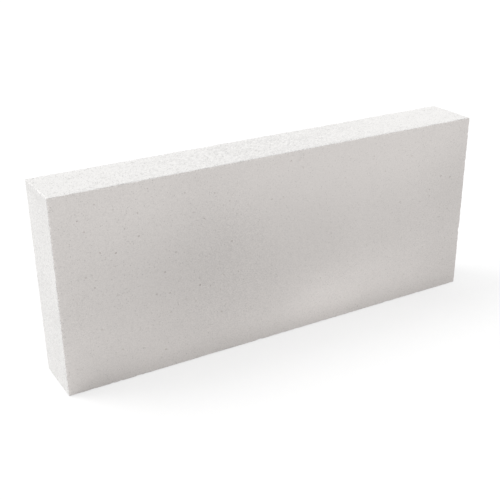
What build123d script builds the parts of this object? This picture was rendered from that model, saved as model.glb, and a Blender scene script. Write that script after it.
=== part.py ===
from build123d import *
import os

# An aerated concrete partition block, wire-cut from a larger cake and cured as one solid piece.
# It stands on its long bed face, as it is laid in a wall. X runs along the wall, Y through it
# and Z up the course. The origin is the centre of the lower bed face.

# Driving dimensions in millimetres
BLOCK_LENGTH = 600.0
BLOCK_THICKNESS = 75.0
COURSE_HEIGHT = 250.0
# A cut edge of this soft material never stays knife-sharp: it crumbles to this radius.
ARRIS_RADIUS = 1.2


def bed_outline():
    """The bed face's outline, the section that the cutting wires leave in plan."""
    return Rectangle(BLOCK_LENGTH, BLOCK_THICKNESS)


def aerated_block():
    """The plan outline carried up one course, with all twelve arrises eased."""
    prism = extrude(bed_outline(), amount=COURSE_HEIGHT)
    return fillet(prism.edges(), radius=ARRIS_RADIUS)


os.makedirs("parts", exist_ok=True)
export_step(aerated_block(), "parts/aerated_block.step")
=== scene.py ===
import itertools
import math
from typing import NamedTuple

import bpy
import numpy as np
from mathutils import Matrix, Vector


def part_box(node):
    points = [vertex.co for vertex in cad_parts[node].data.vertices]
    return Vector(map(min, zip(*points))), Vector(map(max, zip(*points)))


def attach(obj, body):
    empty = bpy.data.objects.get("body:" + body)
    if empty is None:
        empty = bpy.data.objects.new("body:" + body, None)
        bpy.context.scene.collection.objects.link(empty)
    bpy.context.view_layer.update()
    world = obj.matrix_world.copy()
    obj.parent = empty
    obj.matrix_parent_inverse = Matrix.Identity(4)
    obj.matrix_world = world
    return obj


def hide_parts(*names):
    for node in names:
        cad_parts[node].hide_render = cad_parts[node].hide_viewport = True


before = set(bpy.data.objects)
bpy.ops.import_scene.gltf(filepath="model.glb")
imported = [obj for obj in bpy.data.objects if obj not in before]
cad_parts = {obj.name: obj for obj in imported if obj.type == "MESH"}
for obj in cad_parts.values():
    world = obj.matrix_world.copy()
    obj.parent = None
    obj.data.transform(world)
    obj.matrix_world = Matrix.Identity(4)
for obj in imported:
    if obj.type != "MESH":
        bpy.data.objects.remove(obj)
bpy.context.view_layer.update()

# An aerated concrete partition block in a white studio. Lengths are in metres and in the part's own
# frame: X along the block, -Y out of the large face that the photo shows, Z up from the floor.

MM = 0.001
NODE = "aerated_block"
BLOCK_LOW, BLOCK_HIGH = (np.array(corner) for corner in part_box(NODE))
CENTRE = (BLOCK_LOW + BLOCK_HIGH) / 2
HALF = (BLOCK_HIGH - BLOCK_LOW) / 2

# The six faces by axis and side. On a face, u runs along the next axis after the face's own, and v
# along the one after that.
FACES = tuple(itertools.product((0, 1, 2), (-1, 1)))
FRONT = (1, -1)
LARGE_FACE_AXIS = 1

# Surface lattice: uneven lines across the band beside each arris, even cells over the rest. Corners
# that agree to WELD are one point.
BAND_LINES = np.array([0.0, 0.4, 0.8, 1.2, 1.9, 3.0, 5.0]) * MM
BAND = len(BAND_LINES) - 1
PANEL_CELL = 5.0 * MM
FINE_STEPS = 3
WELD = 0.0001 * MM
SHARP_ANGLE = math.radians(42)

# The gap between two faces on the texture map, as a share of the map, and the name of the mesh's mark
# of how near an arris a point is
MAP_GAP = 0.004
ARRIS_MARK = "arris"

# Arrises: the radius that the cut leaves, and how much further a chip takes it back at most. A chip
# lies where a coarse and a fine noise together run high: these are the share and the grain of each,
# and where a chip starts and has its full size.
CUT_RADIUS = 1.2 * MM
CHIP_RADIUS = 2.0 * MM
CHIP_NOISES = ((0.4, 14.0 * MM), (0.6, 3.6 * MM))
CHIP_STARTS, CHIP_FULL = 0.52, 0.85

# Crumbs lost beside the arrises: how deep, how coarse, and how far in they reach
CRUMB_DEPTH = 0.55 * MM
CRUMB_GRAIN = 2.6 * MM
CRUMB_REACH = 4.5 * MM

# Waviness of a wire-cut face: (depth, length of a wave)
WAVES = ((0.20 * MM, 90 * MM), (0.08 * MM, 23 * MM))

# Noise: how many cells it has before it repeats, how far into it the block's middle lies, and where
# the seeds of the chips, the crumbs and the waves start
NOISE_TILE = 64
NOISE_START = 1.0
CHIP_SEED, CRUMB_SEED, WAVE_SEED = 0, 5, 6

# Open pores cut through the surface: their widths, their depth as a share of the width, how uneven the
# rim is, how far they stay inside their cell, and how far in and how deep the ring of wall lies
PORE_WIDTH_LEAST = 0.8 * MM
PORE_WIDTH_SPREAD = 0.34 * MM
PORE_WIDTH_MOST = 2.1 * MM
PORE_DEPTH_SHARE = (0.35, 0.68)
PORE_UNEVEN = 0.16
PORE_MARGIN = 0.15 * MM
PORE_SIDES = 8
PORE_WALL_IN, PORE_WALL_DOWN = 0.78, 0.60
PORE_SEED = 20

# The rim's first point looks towards its cell's first corner
RIM_START = -0.75 * math.pi

# Pores crowd where a broad noise runs high: the least chance of a cell, and the noise's grain
PORE_CHANCE_LEAST = 0.35
PORE_CROWD_GRAIN = 45 * MM

# The boldest pores of the front face, listed: the whole pixel of the photo where each shows, counted
# from the top left, and a width in millimetres at which it shows about as dark as there. All have this
# depth as a share of the width.
BOLD_DEPTH_SHARE = 0.60
BOLD_PORES = (
    ((139, 236), 2.4), ((116, 253), 2.6), ((200, 285), 3.1), ((232, 241), 2.6), ((165, 272), 2.5),
    ((100, 253), 2.5), ((157, 294), 2.3), ((291, 161), 2.4), ((166, 349), 2.8), ((86, 278), 2.1),
    ((95, 288), 2.2), ((272, 199), 2.4), ((185, 193), 1.8), ((170, 293), 2.5), ((450, 177), 2.4),
    ((441, 176), 2.5), ((171, 312), 2.1), ((144, 348), 2.0), ((400, 202), 2.5), ((429, 196), 1.9),
    ((412, 156), 2.7), ((69, 245), 1.6), ((176, 252), 2.2),
)

# A bold pore takes two by two cells, whose middle lies at least BLOCK_MARGIN lines from the band. The
# ring is the points about that middle, in steps of one line.
BLOCK_MARGIN = 2
BLOCK_RING = ((-1, -1), (0, -1), (1, -1), (1, 0), (1, 1), (0, 1), (-1, 1), (-1, 0))

# The photo's camera: a 500 pixel square picture
PICTURE = 500
SENSOR = 36.0
CAMERA_PLACE = Vector((-0.5611, -0.9247, 0.5853))
CAMERA_AZIMUTH = math.radians(-30.452)
CAMERA_ELEVATION = math.radians(25.921)
CAMERA_ROLL = math.radians(-0.401)
CAMERA_CLIP = (0.01, 100.0)
FOCAL_PIXELS = 896.6
OPTICAL_CENTRE = (257.6, 282.3)

# Broad clouds of tone on the faces that the photo shows, as soft ovals: centre and reach in X, Y and
# Z, in millimetres from the block's left foot at the front, and how much lighter or darker it is in
# the middle. Much of it is painted light and shade.
# On the front: partly the concrete's own uneven tone and partly painted light and shade. Painted
# contact shade darkens it towards the foot, painted shade lies about the middle, and painted light
# lies towards the lower right and the top right.
FRONT_SHADE_AND_TONE = (
    ((180, 0, 125), (190, 40, 150), -0.100),
    ((230, 0, 130), (560, 40, 100), -0.060),
    ((25, 0, 125), (110, 40, 230), -0.048),
    ((35, 0, 0), (85, 40, 75), -0.090),
    ((300, 0, 0), (700, 40, 28), -0.020),
    ((362, 0, 35), (90, 40, 55), 0.055),
    ((450, 0, 60), (150, 40, 60), 0.050),
    ((390, 0, 30), (240, 40, 75), 0.045),
    ((470, 0, 240), (190, 40, 110), 0.040),
    ((330, 0, 26), (420, 40, 36), 0.040),
    ((188, 0, 225), (80, 40, 110), -0.032),
    ((350, 0, 150), (60, 40, 75), -0.025),
    ((585, 0, 155), (95, 40, 90), -0.058),
    ((370, 0, 30), (430, 40, 75), 0.018),
)
# On the top: painted light, lighter towards its right end and darker in its middle. On the left end: a
# strip darker along its top.
BED_PAINTED_LIGHT = (
    ((250, 37, 250), (150, 90, 40), -0.020),
    ((590, 37, 250), (330, 150, 40), 0.075),
    ((0, 37, 244), (20, 90, 14), -0.050),
)

# Where the photo's grain is rougher or smoother than elsewhere, and where its top is torn, as soft
# ovals of the same kind
FRONT_GRAIN = (
    ((225, 0, 120), (110, 40, 140), 0.75),
    ((15, 0, 110), (60, 40, 90), 0.30),
    ((380, 0, 200), (220, 40, 110), -0.50),
    ((530, 0, 120), (90, 40, 90), 0.25),
)
BED_GRAIN = (
    ((0, 37, 130), (40, 90, 200), 0.65),
)
BED_TORN = (
    ((280, 37, 250), (310, 110, 40), 9.0),
)

# Body of the concrete. At an arris the grain shows stronger by ARRIS_GRAIN times its own tone.
BODY_ROUGHNESS = 0.93
BODY_SPECULAR = 0.25
GRAIN_DETAIL = 4.0
MOTTLE_SIZE = 70 * MM
MOTTLE_TONE = 0.06
MOTTLE_DETAIL = 2.0
ARRIS_GRAIN = 2.0

# Short tears of the top face, drawn out at a slant across the block's thickness
TORN_SIZE = 2.2 * MM
TORN_DRAWN_OUT = 2.2
TORN_SLANT = math.radians(-45)
TORN_TONE = 0.05
TORN_DETAIL = 2.0

# Studio
WHITE = (1.0, 1.0, 1.0, 1.0)
SKY_STRENGTH = 0.675
KEY_FROM = Vector((-2.5, 2.1, 4.4))
KEY_SIZE = 3.2
KEY_POWER = 190.0
FLOOR_SIZE = 16.0
FLOOR_DROP = 0.2 * MM
FLOOR_COLOUR = (0.850, 0.850, 0.850, 1.0)
FLOOR_WHITE = 1.08

# How much the camera sees the floor whitened at the block's foot, and how much more with each metre.
# The shadow fades sooner past the right end, as if the block stopped short there by this much.
FLOOR_WHITENED = 0.605
FLOOR_FADE = 1.0
FLOOR_FADE_SHORT = 60 * MM


class Finish(NamedTuple):
    """How one kind of face looks. Open pores are cut in the mesh and counted on a square metre. The
    other pores are fine ones, a texture: their spacing, their smallest and largest radius as shares of
    it, where one below 0 leaves no pore, and their depth as a share of a full bowl's. Tones are shares
    of the body's colour: the fine pores' darkening is painted shade, the arris tone is painted light
    and shade, and the clouds are partly painted light and shade. Patches and clouds are soft ovals."""
    name: str
    colour: tuple
    open_pores: int
    pore_cell: float
    pore_radii: tuple
    # How much the fine pores are darkened: painted shade in the hollows.
    pore_painted_shade: float
    pore_depth: float
    grain_size: float
    grain_tone: float
    grain_height: float
    grain_patches: tuple
    torn_patches: tuple
    # Tone at an arris: a painted highlight where the rounded arris catches light on the large faces,
    # and painted shade on the beds and ends.
    arris_painted_light: float
    clouds: tuple


# The large faces are closer, and their colour is a little warmer: a painted warm tint of a face in
# shade, against the cooler colour of the lit beds and ends, which are more open. The pore and arris
# tones of each finish are painted shade and painted light.
LARGE_FACES = Finish(
    name="wire_cut_face", colour=(0.814, 0.778, 0.754), open_pores=5600,
    pore_cell=2.0 * MM, pore_radii=(-0.20, 0.36), pore_painted_shade=0.26, pore_depth=0.45,
    grain_size=1.4 * MM, grain_tone=0.30, grain_height=0.20 * MM,
    grain_patches=FRONT_GRAIN, torn_patches=(), arris_painted_light=0.03, clouds=FRONT_SHADE_AND_TONE,
)
OPEN_FACES = Finish(
    name="open_cut_face", colour=(0.767, 0.758, 0.747), open_pores=9000,
    pore_cell=1.9 * MM, pore_radii=(-0.05, 0.44), pore_painted_shade=0.34, pore_depth=0.70,
    grain_size=1.7 * MM, grain_tone=0.40, grain_height=0.70 * MM,
    grain_patches=BED_GRAIN, torn_patches=BED_TORN, arris_painted_light=-0.01, clouds=BED_PAINTED_LIGHT,
)
FINISHES = (LARGE_FACES, OPEN_FACES)


def finish_of(face):
    """The finish that a face has."""
    return LARGE_FACES if face[0] == LARGE_FACE_AXIS else OPEN_FACES


def soft_noise(points, grain, seed):
    """Smooth noise from 0 to 1: random values on a cubic lattice as wide as the grain, blended
    across each cell by 3t^2 - 2t^3 along each axis."""
    values = np.random.default_rng(seed).random((NOISE_TILE,) * 3)
    scaled = (points + NOISE_START) / grain
    cell = np.floor(scaled).astype(int)
    share = scaled - cell
    share = share * share * (3 - 2 * share)
    total = np.zeros(len(points))
    for corner in itertools.product((0, 1), repeat=3):
        index = (cell + corner) % NOISE_TILE
        weight = np.where(corner, share, 1 - share).prod(axis=1)
        total += weight * values[tuple(index.T)]
    return total


def smooth_step(value, start, end):
    """0 before start, 1 after end and 3t^2 - 2t^3 between them."""
    t = np.clip((value - start) / (end - start), 0, 1)
    return t * t * (3 - 2 * t)


def lattice_lines(half):
    """Lines across one axis from -half to half: the band's lines at both ends and even fine lines
    between, of which every FINE_STEPS-th bounds a panel cell. Gives the lines and how many cells
    they bound."""
    inner_half = half - BAND_LINES[-1]
    cells = round(2 * inner_half / PANEL_CELL)
    inner = np.linspace(-inner_half, inner_half, cells * FINE_STEPS + 1)
    return np.concatenate([BAND_LINES[:-1] - half, inner, half - BAND_LINES[-2::-1]]), cells


def band_cells(last_u, last_v):
    """Line numbers round each one-step cell that lies in the band, counter-clockwise."""
    at_u, at_v = np.meshgrid(np.arange(last_u), np.arange(last_v), indexing="ij")
    panel = (at_u >= BAND) & (at_u < last_u - BAND) & (at_v >= BAND) & (at_v < last_v - BAND)
    at_u, at_v = at_u[~panel], at_v[~panel]
    return np.stack([at_u, at_u + 1, at_u + 1, at_u], 1), np.stack([at_v, at_v, at_v + 1, at_v + 1], 1)


def panel_cells(cells_u, cells_v):
    """Line numbers round each panel cell, FINE_STEPS to a side, counter-clockwise, and which of them
    the cell needs: its corners, and the fine lines on a side that meets the band."""
    step = np.arange(FINE_STEPS)
    low, high = np.zeros(FINE_STEPS, int), np.full(FINE_STEPS, FINE_STEPS)
    around_u = np.concatenate([step, high, high - step, low])
    around_v = np.concatenate([low, step, high, high - step])
    row, column = np.meshgrid(np.arange(cells_u), np.arange(cells_v), indexing="ij")
    row, column = row.ravel(), column.ravel()
    meets_band = np.stack([column == 0, row == cells_u - 1, column == cells_v - 1, row == 0], 1)
    needed = np.repeat(meets_band, FINE_STEPS, axis=1) | (np.tile(step, 4) == 0)
    at_u = BAND + row[:, None] * FINE_STEPS + around_u
    at_v = BAND + column[:, None] * FINE_STEPS + around_v
    return at_u, at_v, needed


def cell_rings(lines_u, lines_v, row, column):
    """The four corners of panel cells, counter-clockwise."""
    low_u, high_u = lines_u[row], lines_u[row + 1]
    low_v, high_v = lines_v[column], lines_v[column + 1]
    return np.stack([low_u, high_u, high_u, low_u], 1), np.stack([low_v, low_v, high_v, high_v], 1)


def pore_cells(ring_u, ring_v, places, widths, depths, rng):
    """Cells with an open pore each. Inside the cell's own ring of points come a rim and a ring of
    wall, circles of PORE_SIDES points moved in or out a little, and a bottom point; the wall and the
    bottom lie deeper. A cell's ring has four points, or as many as the rim. Gives the polygons' u, v
    and depth."""
    count, sides = ring_u.shape
    turn = np.arange(PORE_SIDES) * 2 * math.pi / PORE_SIDES + RIM_START
    radius = widths[:, None] / 2 * (1 + PORE_UNEVEN * (rng.random((count, PORE_SIDES)) * 2 - 1))
    rings_u, rings_v = [ring_u], [ring_v]
    for share in (1.0, PORE_WALL_IN):
        rings_u.append(places[:, :1] + radius * share * np.cos(turn))
        rings_v.append(places[:, 1:] + radius * share * np.sin(turn))
    u = np.hstack(rings_u + [places[:, :1]])
    v = np.hstack(rings_v + [places[:, 1:]])
    wall_depth = np.repeat(depths[:, None] * PORE_WALL_DOWN, PORE_SIDES, axis=1)
    deep = np.hstack([np.zeros((count, sides + PORE_SIDES)), wall_depth, depths[:, None]])
    threes, fours = skirt_faces(sides)
    rim, wall, bottom = sides, sides + PORE_SIDES, sides + 2 * PORE_SIDES
    for k in range(PORE_SIDES):
        after = (k + 1) % PORE_SIDES
        fours.append((rim + k, rim + after, wall + after, wall + k))
        threes.append((wall + k, wall + after, bottom))
    return [
        tuple(table[:, faces].reshape(-1, len(faces[0])) for table in (u, v, deep))
        for faces in (threes, fours)
    ]


def skirt_faces(sides):
    """The faces between a cell's ring of points and the rim inside it: a quad to each side where
    both have as many points, and three triangles to each side of a four-cornered cell."""
    rim = sides
    if sides == PORE_SIDES:
        return [], [(k, (k + 1) % sides, rim + (k + 1) % sides, rim + k) for k in range(sides)]
    threes = []
    for k in range(sides):
        start, middle, end = (rim + (2 * k + step) % PORE_SIDES for step in range(3))
        after = (k + 1) % sides
        threes += [(k, after, middle), (k, middle, start), (after, end, middle)]
    return threes, []


def camera_axes():
    """The photo's camera as the directions to its right, up and back."""
    east, north = math.cos(CAMERA_AZIMUTH), math.sin(CAMERA_AZIMUTH)
    level_share, rise = math.cos(CAMERA_ELEVATION), math.sin(CAMERA_ELEVATION)
    right = Vector((east, north, 0.0))
    back = Vector((north * level_share, -east * level_share, rise))
    level = Matrix((right, back.cross(right), back)).transposed()
    return level @ Matrix.Rotation(CAMERA_ROLL, 3, "Z")


def seen_on_front(pixel):
    """The front face's x and z, from the block's middle, at a pixel of the photo: the line of sight
    through it, carried on to the face's plane."""
    across = (pixel[0] - OPTICAL_CENTRE[0]) / FOCAL_PIXELS
    down = (pixel[1] - OPTICAL_CENTRE[1]) / FOCAL_PIXELS
    sight = camera_axes() @ Vector((across, -down, -1.0))
    reach = (BLOCK_LOW[1] - CAMERA_PLACE.y) / sight.y
    point = np.array(CAMERA_PLACE + sight * reach) - CENTRE
    return point[0], point[2]


def nearest_line(lines, value):
    """The number of the line nearest to a value, with BLOCK_MARGIN lines left out on either side."""
    return BLOCK_MARGIN + int(np.abs(lines[BLOCK_MARGIN:-BLOCK_MARGIN] - value).argmin())


def bold_pores(lines_u, lines_v, free, rng):
    """The photo's boldest pores. Each takes the two by two cells about the crossing of lines nearest
    to it, so it lies where the photo has it, or within them where it comes close to the band along
    an arris. On the front face u runs along Z and v along X."""
    rings, places, widths = [], [], []
    for pixel, width in BOLD_PORES:
        x, z = seen_on_front(pixel)
        row, column = nearest_line(lines_u, z), nearest_line(lines_v, x)
        if not free[row - 1:row + 1, column - 1:column + 1].all():
            continue
        free[row - 1:row + 1, column - 1:column + 1] = False
        ring = [(lines_u[row + step_u], lines_v[column + step_v]) for step_u, step_v in BLOCK_RING]
        room = width * MM / 2 * (1 + PORE_UNEVEN) + PORE_MARGIN
        z = np.clip(z, lines_u[row - 1] + room, lines_u[row + 1] - room)
        x = np.clip(x, lines_v[column - 1] + room, lines_v[column + 1] - room)
        rings.append(ring)
        places.append((z, x))
        widths.append(width * MM)
    rings, places, widths = np.array(rings), np.array(places), np.array(widths)
    return pore_cells(rings[..., 0], rings[..., 1], places, widths, widths * BOLD_DEPTH_SHARE, rng)


def scattered_pores(lines_u, lines_v, free, density, seed, rng):
    """The other pores, in random cells of their own, closer together where a broad noise runs high,
    with widths that thin out exponentially. A pore stays whole inside its cell."""
    row, column = np.nonzero(free)
    corner = np.stack([lines_u[row], lines_v[column], np.zeros(len(row))], 1)
    chance = PORE_CHANCE_LEAST + soft_noise(corner, PORE_CROWD_GRAIN, seed)
    area = (lines_u[-1] - lines_u[0]) * (lines_v[-1] - lines_v[0])
    chosen = rng.choice(len(row), int(density * area), replace=False, p=chance / chance.sum())
    row, column = row[chosen], column[chosen]
    free[row, column] = False
    widths = PORE_WIDTH_LEAST + rng.exponential(PORE_WIDTH_SPREAD, len(row))
    widths = np.minimum(widths, PORE_WIDTH_MOST)
    depths = widths * rng.uniform(*PORE_DEPTH_SHARE, len(row))
    room = (widths / 2 * (1 + PORE_UNEVEN) + PORE_MARGIN)[:, None]
    low = np.stack([lines_u[row], lines_v[column]], 1) + room
    high = np.stack([lines_u[row + 1], lines_v[column + 1]], 1) - room
    places = low + (high - low) * rng.random((len(row), 2))
    ring_u, ring_v = cell_rings(lines_u, lines_v, row, column)
    return pore_cells(ring_u, ring_v, places, widths, depths, rng)


def flat_group(u, v):
    """Polygons that lie in the face."""
    return u, v, np.zeros(u.shape)


def face_polygons(face):
    """All polygons of one face of the plain box, as (u, v, depth below the face) in groups of equal
    corner count."""
    axis, side = face
    lines_u, cells_u = lattice_lines(HALF[(axis + 1) % 3])
    lines_v, cells_v = lattice_lines(HALF[(axis + 2) % 3])
    at_u, at_v = band_cells(len(lines_u) - 1, len(lines_v) - 1)
    groups = [flat_group(lines_u[at_u], lines_v[at_v])]
    at_u, at_v, needed = panel_cells(cells_u, cells_v)
    # Only a cell apart from the band has just its four corners, and so room for a pore
    plain = needed.sum(axis=1) == 4
    for pattern in np.unique(needed[~plain], axis=0):
        rows = (needed == pattern).all(axis=1)
        groups.append(flat_group(lines_u[at_u[rows][:, pattern]], lines_v[at_v[rows][:, pattern]]))
    free = plain.reshape(cells_u, cells_v)
    panel_u = lines_u[BAND:len(lines_u) - BAND:FINE_STEPS]
    panel_v = lines_v[BAND:len(lines_v) - BAND:FINE_STEPS]
    seed = PORE_SEED + 2 * axis + side
    rng = np.random.default_rng(seed)
    if face == FRONT:
        groups += bold_pores(panel_u, panel_v, free, rng)
    groups += scattered_pores(panel_u, panel_v, free, finish_of(face).open_pores, seed, rng)
    groups.append(flat_group(*cell_rings(panel_u, panel_v, *np.nonzero(free))))
    return [group for group in groups if len(group[0])]


def map_places():
    """Where each face lies on the block's own texture map: rows of the four long faces, then both
    ends side by side. Each face's long side runs along the map's width. Gives each face's lower left
    corner, and the map's scale along both sides."""
    rows = [FRONT, (1, 1), (2, 1), (2, -1)]
    heights = [2 * HALF[2], 2 * HALF[2], 2 * HALF[1], 2 * HALF[1], 2 * HALF[1]]
    width_scale = (1 - 2 * MAP_GAP) / (2 * HALF[0])
    height_scale = (1 - (len(heights) + 1) * MAP_GAP) / sum(heights)
    places, bottom = {}, MAP_GAP
    for face, height in zip(rows, heights):
        places[face] = (MAP_GAP, bottom)
        bottom += height * height_scale + MAP_GAP
    places[(0, -1)] = (MAP_GAP, bottom)
    places[(0, 1)] = (2 * MAP_GAP + 2 * HALF[2] * width_scale, bottom)
    return places, (width_scale, height_scale)


def eased_box(flat, radius):
    """The box with rounded arrises, from points on the plain box: the core is each point drawn
    inside the box less the radius, and the surface is the core plus the radius along the unit vector
    from the core to the point, which is also the normal."""
    core = np.clip(flat, radius - HALF, HALF - radius)
    away = flat - core
    normal = away / np.linalg.norm(away, axis=1, keepdims=True)
    return core + radius * normal, normal


def crumbled_radius(flat):
    """The arris radius at each point: what the cut leaves, more where the noises of the chips
    together run high, which is where a chip has come away."""
    noise = 0.0
    for seed, (share, grain) in enumerate(CHIP_NOISES, CHIP_SEED):
        noise = noise + share * soft_noise(flat, grain, seed)
    chip = smooth_step(noise, CHIP_STARTS, CHIP_FULL)
    return CUT_RADIUS + CHIP_RADIUS * chip[:, None]


def block_surface(flat, depth):
    """Final places: the eased box, moved inwards by the wires' waves, by crumbs lost beside the
    arrises and by the pores' depth. Also gives how near an arris each point is, from 0 to 1."""
    to_arris = np.sort(HALF - np.abs(flat), axis=1)[:, 1]
    near = 1 - smooth_step(to_arris, 0, CRUMB_REACH)
    inward = depth + CRUMB_DEPTH * near * soft_noise(flat, CRUMB_GRAIN, CRUMB_SEED)
    for seed, (height, length) in enumerate(WAVES, WAVE_SEED):
        inward = inward + height * soft_noise(flat, length, seed)
    place, normal = eased_box(flat, crumbled_radius(flat))
    return place - normal * inward[:, None], near


def placed_polygons(face, u, v, depth):
    """Polygons of a face, on the plain box and looking outwards: each corner's x, y, z and depth."""
    axis, side = face
    flat = np.empty(u.shape + (4,))
    flat[..., axis] = side * HALF[axis]
    flat[..., (axis + 1) % 3] = u
    flat[..., (axis + 2) % 3] = v
    flat[..., 3] = depth
    return flat if side > 0 else flat[:, ::-1]


def on_map(face, flat, corner, scale):
    """The corners' places on the texture map, from the face's lower left corner there."""
    long_axis, short_axis = sorted({0, 1, 2} - {face[0]}, key=lambda axis: -HALF[axis])
    along = flat[..., (long_axis, short_axis)] + HALF[[long_axis, short_axis]]
    return corner + along * scale


def aerated_block_skin():
    """The whole block as one closed mesh: the six faces' polygons, welded along the arrises."""
    corners, maps, sizes, kinds = [], [], [], []
    map_corners, map_scale = map_places()
    for face in FACES:
        kind = FINISHES.index(finish_of(face))
        for group in face_polygons(face):
            flat = placed_polygons(face, *group)
            corners.append(flat.reshape(-1, 4))
            maps.append(on_map(face, flat, map_corners[face], map_scale).reshape(-1, 2))
            sizes.append(np.full(len(flat), flat.shape[1]))
            kinds.append(np.full(len(flat), kind))
    corners = np.vstack(corners)
    rounded = np.round(corners / WELD)
    _, first, vertex = np.unique(rounded, axis=0, return_index=True, return_inverse=True)
    points = corners[first]
    places, near = block_surface(points[:, :3], points[:, 3])
    return mesh_object(
        places + CENTRE, near, vertex.ravel(), np.vstack(maps), np.concatenate(sizes),
        np.concatenate(kinds),
    )


def mesh_object(places, near, vertex, maps, sizes, kinds):
    """Makes the object from arrays: each point's place and nearness to an arris, each corner's point
    and map place, and each polygon's size and finish."""
    mesh = bpy.data.meshes.new("block_skin")
    mesh.vertices.add(len(places))
    mesh.vertices.foreach_set("co", places.astype(np.float32).ravel())
    mesh.loops.add(len(vertex))
    mesh.loops.foreach_set("vertex_index", vertex.astype(np.int32))
    mesh.polygons.add(len(sizes))
    mesh.polygons.foreach_set("loop_start", (np.cumsum(sizes) - sizes).astype(np.int32))
    mesh.polygons.foreach_set("material_index", kinds.astype(np.int32))
    mesh.update(calc_edges=True)
    layer = mesh.uv_layers.new(name="OFBake")
    layer.uv.foreach_set("vector", maps.astype(np.float32).ravel())
    mark = mesh.attributes.new(ARRIS_MARK, "FLOAT", "POINT")
    mark.data.foreach_set("value", near.astype(np.float32))
    mesh.shade_smooth()
    mesh.set_sharp_from_angle(angle=SHARP_ANGLE)
    skin = bpy.data.objects.new("block_skin", mesh)
    bpy.context.scene.collection.objects.link(skin)
    return skin


def add_node(tree, kind, inputs=None, **settings):
    """Adds a node with its settings, and gives each input a value or a link."""
    node = tree.nodes.new(kind)
    for name, value in settings.items():
        setattr(node, name, value)
    for name, value in (inputs or {}).items():
        if isinstance(value, bpy.types.NodeSocket):
            tree.links.new(value, node.inputs[name])
        else:
            node.inputs[name].default_value = value
    return node


def maths(tree, operation, *values):
    """The result of one Math node."""
    inputs = dict(enumerate(values))
    return add_node(tree, "ShaderNodeMath", inputs, operation=operation).outputs[0]


def vector_maths(tree, operation, *values):
    """The result of one Vector Math node."""
    inputs = dict(enumerate(values))
    node = add_node(tree, "ShaderNodeVectorMath", inputs, operation=operation)
    return node.outputs["Value" if operation == "LENGTH" else "Vector"]


def toned(tree, tone, mask, amount):
    """The tone times (1 + amount x mask)."""
    return maths(tree, "MULTIPLY", tone, maths(tree, "MULTIPLY_ADD", mask, amount, 1.0))


FLOAT, VECTOR = "NodeSocketFloat", "NodeSocketVector"


def effect(name, inputs, outputs):
    """A shader node group with named sockets: (socket type, default) by name. Gives the group, its
    input sockets by name, and a function that links its results."""
    group = bpy.data.node_groups.new(name, "ShaderNodeTree")
    for label, (kind, default) in inputs.items():
        socket = group.interface.new_socket(label, in_out="INPUT", socket_type=kind)
        socket.default_value = default
    for label, kind in outputs.items():
        group.interface.new_socket(label, in_out="OUTPUT", socket_type=kind)
    entry = group.nodes.new("NodeGroupInput")
    exit_node = group.nodes.new("NodeGroupOutput")

    def give(**results):
        for label, socket in results.items():
            group.links.new(socket, exit_node.inputs[label])

    return group, entry.outputs, give


def cut_pores_effect():
    """Fine round pores: a ball about each cell's point, cut by the surface. Its radius differs from
    cell to cell, as a share of the cell's width, and a cell whose radius falls below 0 has none. It
    leaves a bowl that is (radius^2 - distance^2) / radius deep. Gives that depth, and a mask that
    is the depth as a share of the radius."""
    group, given, give = effect(
        "cut_pores",
        {"Place": (VECTOR, (0, 0, 0)), "Cell": (FLOAT, 0.003), "Smallest": (FLOAT, 0.1),
         "Largest": (FLOAT, 0.4)},
        {"Pore": FLOAT, "Depth": FLOAT},
    )
    scale = maths(group, "DIVIDE", 1.0, given["Cell"])
    cells = add_node(group, "ShaderNodeTexVoronoi", {"Vector": given["Place"], "Scale": scale},
                     voronoi_dimensions="3D", feature="F1")
    distance = cells.outputs["Distance"]
    chance = add_node(group, "ShaderNodeSeparateColor", {0: cells.outputs["Color"]}).outputs[0]
    span = maths(group, "SUBTRACT", given["Largest"], given["Smallest"])
    chosen = maths(group, "MULTIPLY_ADD", chance, span, given["Smallest"])
    radius = maths(group, "MAXIMUM", chosen, 0.0)
    squares = (maths(group, "MULTIPLY", length, length) for length in (radius, distance))
    inside = maths(group, "MAXIMUM", maths(group, "SUBTRACT", *squares), 0.0)
    depth = maths(group, "DIVIDE", inside, radius)
    give(
        Pore=maths(group, "DIVIDE", depth, radius),
        Depth=maths(group, "MULTIPLY", depth, given["Cell"]),
    )
    return group


def grain_effect():
    """Cement grain: fractal noise about 0, of a given grain size."""
    group, given, give = effect(
        "cement_grain",
        {"Place": (VECTOR, (0, 0, 0)), "Size": (FLOAT, 0.001), "Detail": (FLOAT, 2.0)},
        {"Grain": FLOAT},
    )
    scale = maths(group, "DIVIDE", 1.0, given["Size"])
    noise = add_node(group, "ShaderNodeTexNoise",
                     {"Vector": given["Place"], "Scale": scale, "Detail": given["Detail"]},
                     noise_dimensions="3D")
    give(Grain=maths(group, "SUBTRACT", noise.outputs[0], 0.5))
    return group


def patch_effect():
    """A soft oval patch: 1 at its centre, falling smoothly to 0 at its reach along each axis."""
    group, given, give = effect(
        "soft_patch",
        {"Place": (VECTOR, (0, 0, 0)), "Centre": (VECTOR, (0, 0, 0)), "Reach": (VECTOR, (1, 1, 1))},
        {"Patch": FLOAT},
    )
    apart = vector_maths(group, "SUBTRACT", given["Place"], given["Centre"])
    distance = vector_maths(group, "LENGTH", vector_maths(group, "DIVIDE", apart, given["Reach"]))
    fall = {"Value": distance, "From Min": 0.0, "From Max": 1.0, "To Min": 1.0, "To Max": 0.0}
    patch = add_node(group, "ShaderNodeMapRange", fall, interpolation_type="SMOOTHSTEP")
    give(Patch=patch.outputs["Result"])
    return group


def use_effect(tree, group, **inputs):
    """Places a group in a material and gives its outputs."""
    return add_node(tree, "ShaderNodeGroup", inputs, node_tree=group).outputs


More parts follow.
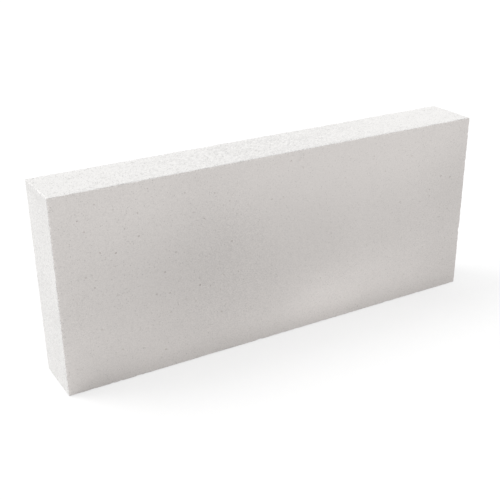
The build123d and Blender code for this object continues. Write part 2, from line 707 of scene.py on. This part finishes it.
def clouded(tree, tone, patch, place, clouds):
    """The tone with soft ovals of more or less of it, each of which stays near its own face."""
    for centre, reach, amount in clouds:
        centre, reach = Vector(BLOCK_LOW) + Vector(centre) * MM, Vector(reach) * MM
        mask = use_effect(tree, patch, Place=place, Centre=centre, Reach=reach)["Patch"]
        tone = toned(tree, tone, mask, amount)
    return tone


def slanting_tears(tree, grain, place):
    """The cement grain drawn out at a slant, as short tears."""
    drawn_out = {"Vector": place, "Rotation": (0, 0, TORN_SLANT), "Scale": (1, TORN_DRAWN_OUT, 1)}
    slanted = add_node(tree, "ShaderNodeMapping", drawn_out, vector_type="TEXTURE").outputs[0]
    return use_effect(tree, grain, Place=slanted, Size=TORN_SIZE, Detail=TORN_DETAIL)["Grain"]


def concrete_tone_and_painted_light(tree, finish, effects, place, speck, pore):
    """The body's tone: broad mottling, cement grain and tears, painted shade in the fine pores and
    painted light at the arrises, and over them the clouds, partly painted light and shade. The grain
    shows more in rough patches and near an arris, and the tears in torn patches."""
    patch, grain = effects["patch"], effects["grain"]
    arris = add_node(tree, "ShaderNodeAttribute", attribute_name=ARRIS_MARK).outputs["Fac"]
    rough = clouded(tree, speck, patch, place, finish.grain_patches)
    rough = toned(tree, rough, arris, ARRIS_GRAIN)
    broad = use_effect(tree, grain, Place=place, Size=MOTTLE_SIZE, Detail=MOTTLE_DETAIL)["Grain"]
    tears = slanting_tears(tree, grain, place)
    tears = clouded(tree, tears, patch, place, finish.torn_patches)
    # The pore mask darkens the fine pores as painted shade, and the arris mark tones the arrises as
    # painted light, lighter on the large faces and darker on the beds and ends.
    masks = (
        (broad, MOTTLE_TONE), (rough, finish.grain_tone), (tears, TORN_TONE),
        (pore, -finish.pore_painted_shade), (arris, finish.arris_painted_light),
    )
    tone = 1.0
    for mask, amount in masks:
        tone = toned(tree, tone, mask, amount)
    return clouded(tree, tone, patch, place, finish.clouds)


def aerated_concrete(finish, effects):
    """Dry aerated concrete: a pale matt body, toned with painted light and shade among its own tones,
    and pitted as its finish says.
    """
    material = bpy.data.materials.new(finish.name)
    material.use_nodes = True
    tree = material.node_tree
    shader = tree.nodes["Principled BSDF"]
    place = add_node(tree, "ShaderNodeTexCoord").outputs["Object"]
    smallest, largest = finish.pore_radii
    bowl = use_effect(tree, effects["pores"], Place=place, Cell=finish.pore_cell,
                      Smallest=smallest, Largest=largest)
    speck = use_effect(tree, effects["grain"], Place=place, Size=finish.grain_size,
                       Detail=GRAIN_DETAIL)["Grain"]
    tone = concrete_tone_and_painted_light(tree, finish, effects, place, speck, bowl["Pore"])
    coloured = {0: finish.colour, "Scale": tone}
    body = add_node(tree, "ShaderNodeVectorMath", coloured, operation="SCALE")
    tree.links.new(body.outputs[0], shader.inputs["Base Color"])
    pitted = maths(tree, "MULTIPLY", bowl["Depth"], -finish.pore_depth)
    height = maths(tree, "MULTIPLY_ADD", speck, finish.grain_height, pitted)
    bump = add_node(tree, "ShaderNodeBump", {"Height": height, "Strength": 1.0, "Distance": 1.0})
    tree.links.new(bump.outputs[0], shader.inputs["Normal"])
    shader.inputs["Roughness"].default_value = BODY_ROUGHNESS
    shader.inputs["Specular IOR Level"].default_value = BODY_SPECULAR
    return material


def floor_whitening(tree):
    """How much of the floor the camera sees whitened: more with the distance from the block's foot,
    which is the length of what a point lies beyond the foot along each axis."""
    place = add_node(tree, "ShaderNodeTexCoord").outputs["Object"]
    short = np.array([FLOOR_FADE_SHORT / 2, 0, 0])
    off_middle = vector_maths(tree, "SUBTRACT", place, Vector(CENTRE - short))
    off_middle = vector_maths(tree, "ABSOLUTE", off_middle)
    beyond = vector_maths(tree, "SUBTRACT", off_middle, Vector(HALF - short))
    beyond = vector_maths(tree, "MAXIMUM", beyond, Vector())
    away = vector_maths(tree, "LENGTH", beyond)
    share = maths(tree, "MULTIPLY_ADD", away, FLOOR_FADE, FLOOR_WHITENED)
    return maths(tree, "MINIMUM", share, 1.0)


def pale_floor():
    """The block sees a plain matt floor with its real shadow, and the camera sees the same floor
    whitened out, as in a product photo."""
    material = bpy.data.materials.new("pale_floor")
    material.use_nodes = True
    tree = material.node_tree
    tree.nodes.clear()
    matt = add_node(tree, "ShaderNodeBsdfDiffuse", {"Color": FLOOR_COLOUR})
    white = add_node(tree, "ShaderNodeEmission", {"Color": WHITE, "Strength": FLOOR_WHITE})
    seen = add_node(tree, "ShaderNodeLightPath").outputs["Is Camera Ray"]
    share = maths(tree, "MULTIPLY", seen, floor_whitening(tree))
    mix = add_node(tree, "ShaderNodeMixShader", {0: share, 1: matt.outputs[0], 2: white.outputs[0]})
    add_node(tree, "ShaderNodeOutputMaterial", {"Surface": mix.outputs[0]})
    return material


def studio_floor():
    """A wide floor just under the block."""
    reach = FLOOR_SIZE / 2
    mesh = bpy.data.meshes.new("floor")
    corners = [(-reach, -reach), (reach, -reach), (reach, reach), (-reach, reach)]
    mesh.from_pydata([(x, y, BLOCK_LOW[2] - FLOOR_DROP) for x, y in corners], [], [(0, 1, 2, 3)])
    mesh.materials.append(pale_floor())
    floor = bpy.data.objects.new("floor", mesh)
    bpy.context.scene.collection.objects.link(floor)


def studio_light():
    """A soft overcast sky all round, which the camera sees as white, and one large soft lamp behind
    the block to its left."""
    world = bpy.data.worlds.new("studio")
    bpy.context.scene.world = world
    world.use_nodes = True
    tree = world.node_tree
    tree.nodes.clear()
    sky = add_node(tree, "ShaderNodeBackground", {"Color": WHITE, "Strength": SKY_STRENGTH})
    white = add_node(tree, "ShaderNodeBackground", {"Color": WHITE, "Strength": 1.0})
    seen = add_node(tree, "ShaderNodeLightPath").outputs["Is Camera Ray"]
    mix = add_node(tree, "ShaderNodeMixShader", {0: seen, 1: sky.outputs[0], 2: white.outputs[0]})
    add_node(tree, "ShaderNodeOutputWorld", {"Surface": mix.outputs[0]})
    lamp = bpy.data.lights.new("key", "AREA")
    lamp.shape = "DISK"
    lamp.size = KEY_SIZE
    lamp.energy = KEY_POWER
    key = bpy.data.objects.new("key", lamp)
    key.location = KEY_FROM
    key.rotation_euler = (KEY_FROM - Vector(CENTRE)).to_track_quat("Z", "Y").to_euler()
    bpy.context.scene.collection.objects.link(key)


def photo_camera():
    """The photo's camera, with the shift that puts its optical centre where the photo has it."""
    data = bpy.data.cameras.new("camera")
    data.sensor_width = SENSOR
    data.lens = FOCAL_PIXELS / PICTURE * SENSOR
    data.shift_x = (PICTURE / 2 - OPTICAL_CENTRE[0]) / PICTURE
    data.shift_y = (OPTICAL_CENTRE[1] - PICTURE / 2) / PICTURE
    data.clip_start, data.clip_end = CAMERA_CLIP
    camera = bpy.data.objects.new("camera", data)
    camera.matrix_world = Matrix.LocRotScale(CAMERA_PLACE, camera_axes().to_quaternion(), None)
    bpy.context.scene.collection.objects.link(camera)
    bpy.context.scene.camera = camera


photo_camera()
studio_floor()
studio_light()
bpy.context.scene.view_settings.view_transform = "Standard"

block = aerated_block_skin()
concrete_effects = {"pores": cut_pores_effect(), "grain": grain_effect(), "patch": patch_effect()}
for finish in FINISHES:
    block.data.materials.append(aerated_concrete(finish, concrete_effects))
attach(block, "root")
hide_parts(NODE)
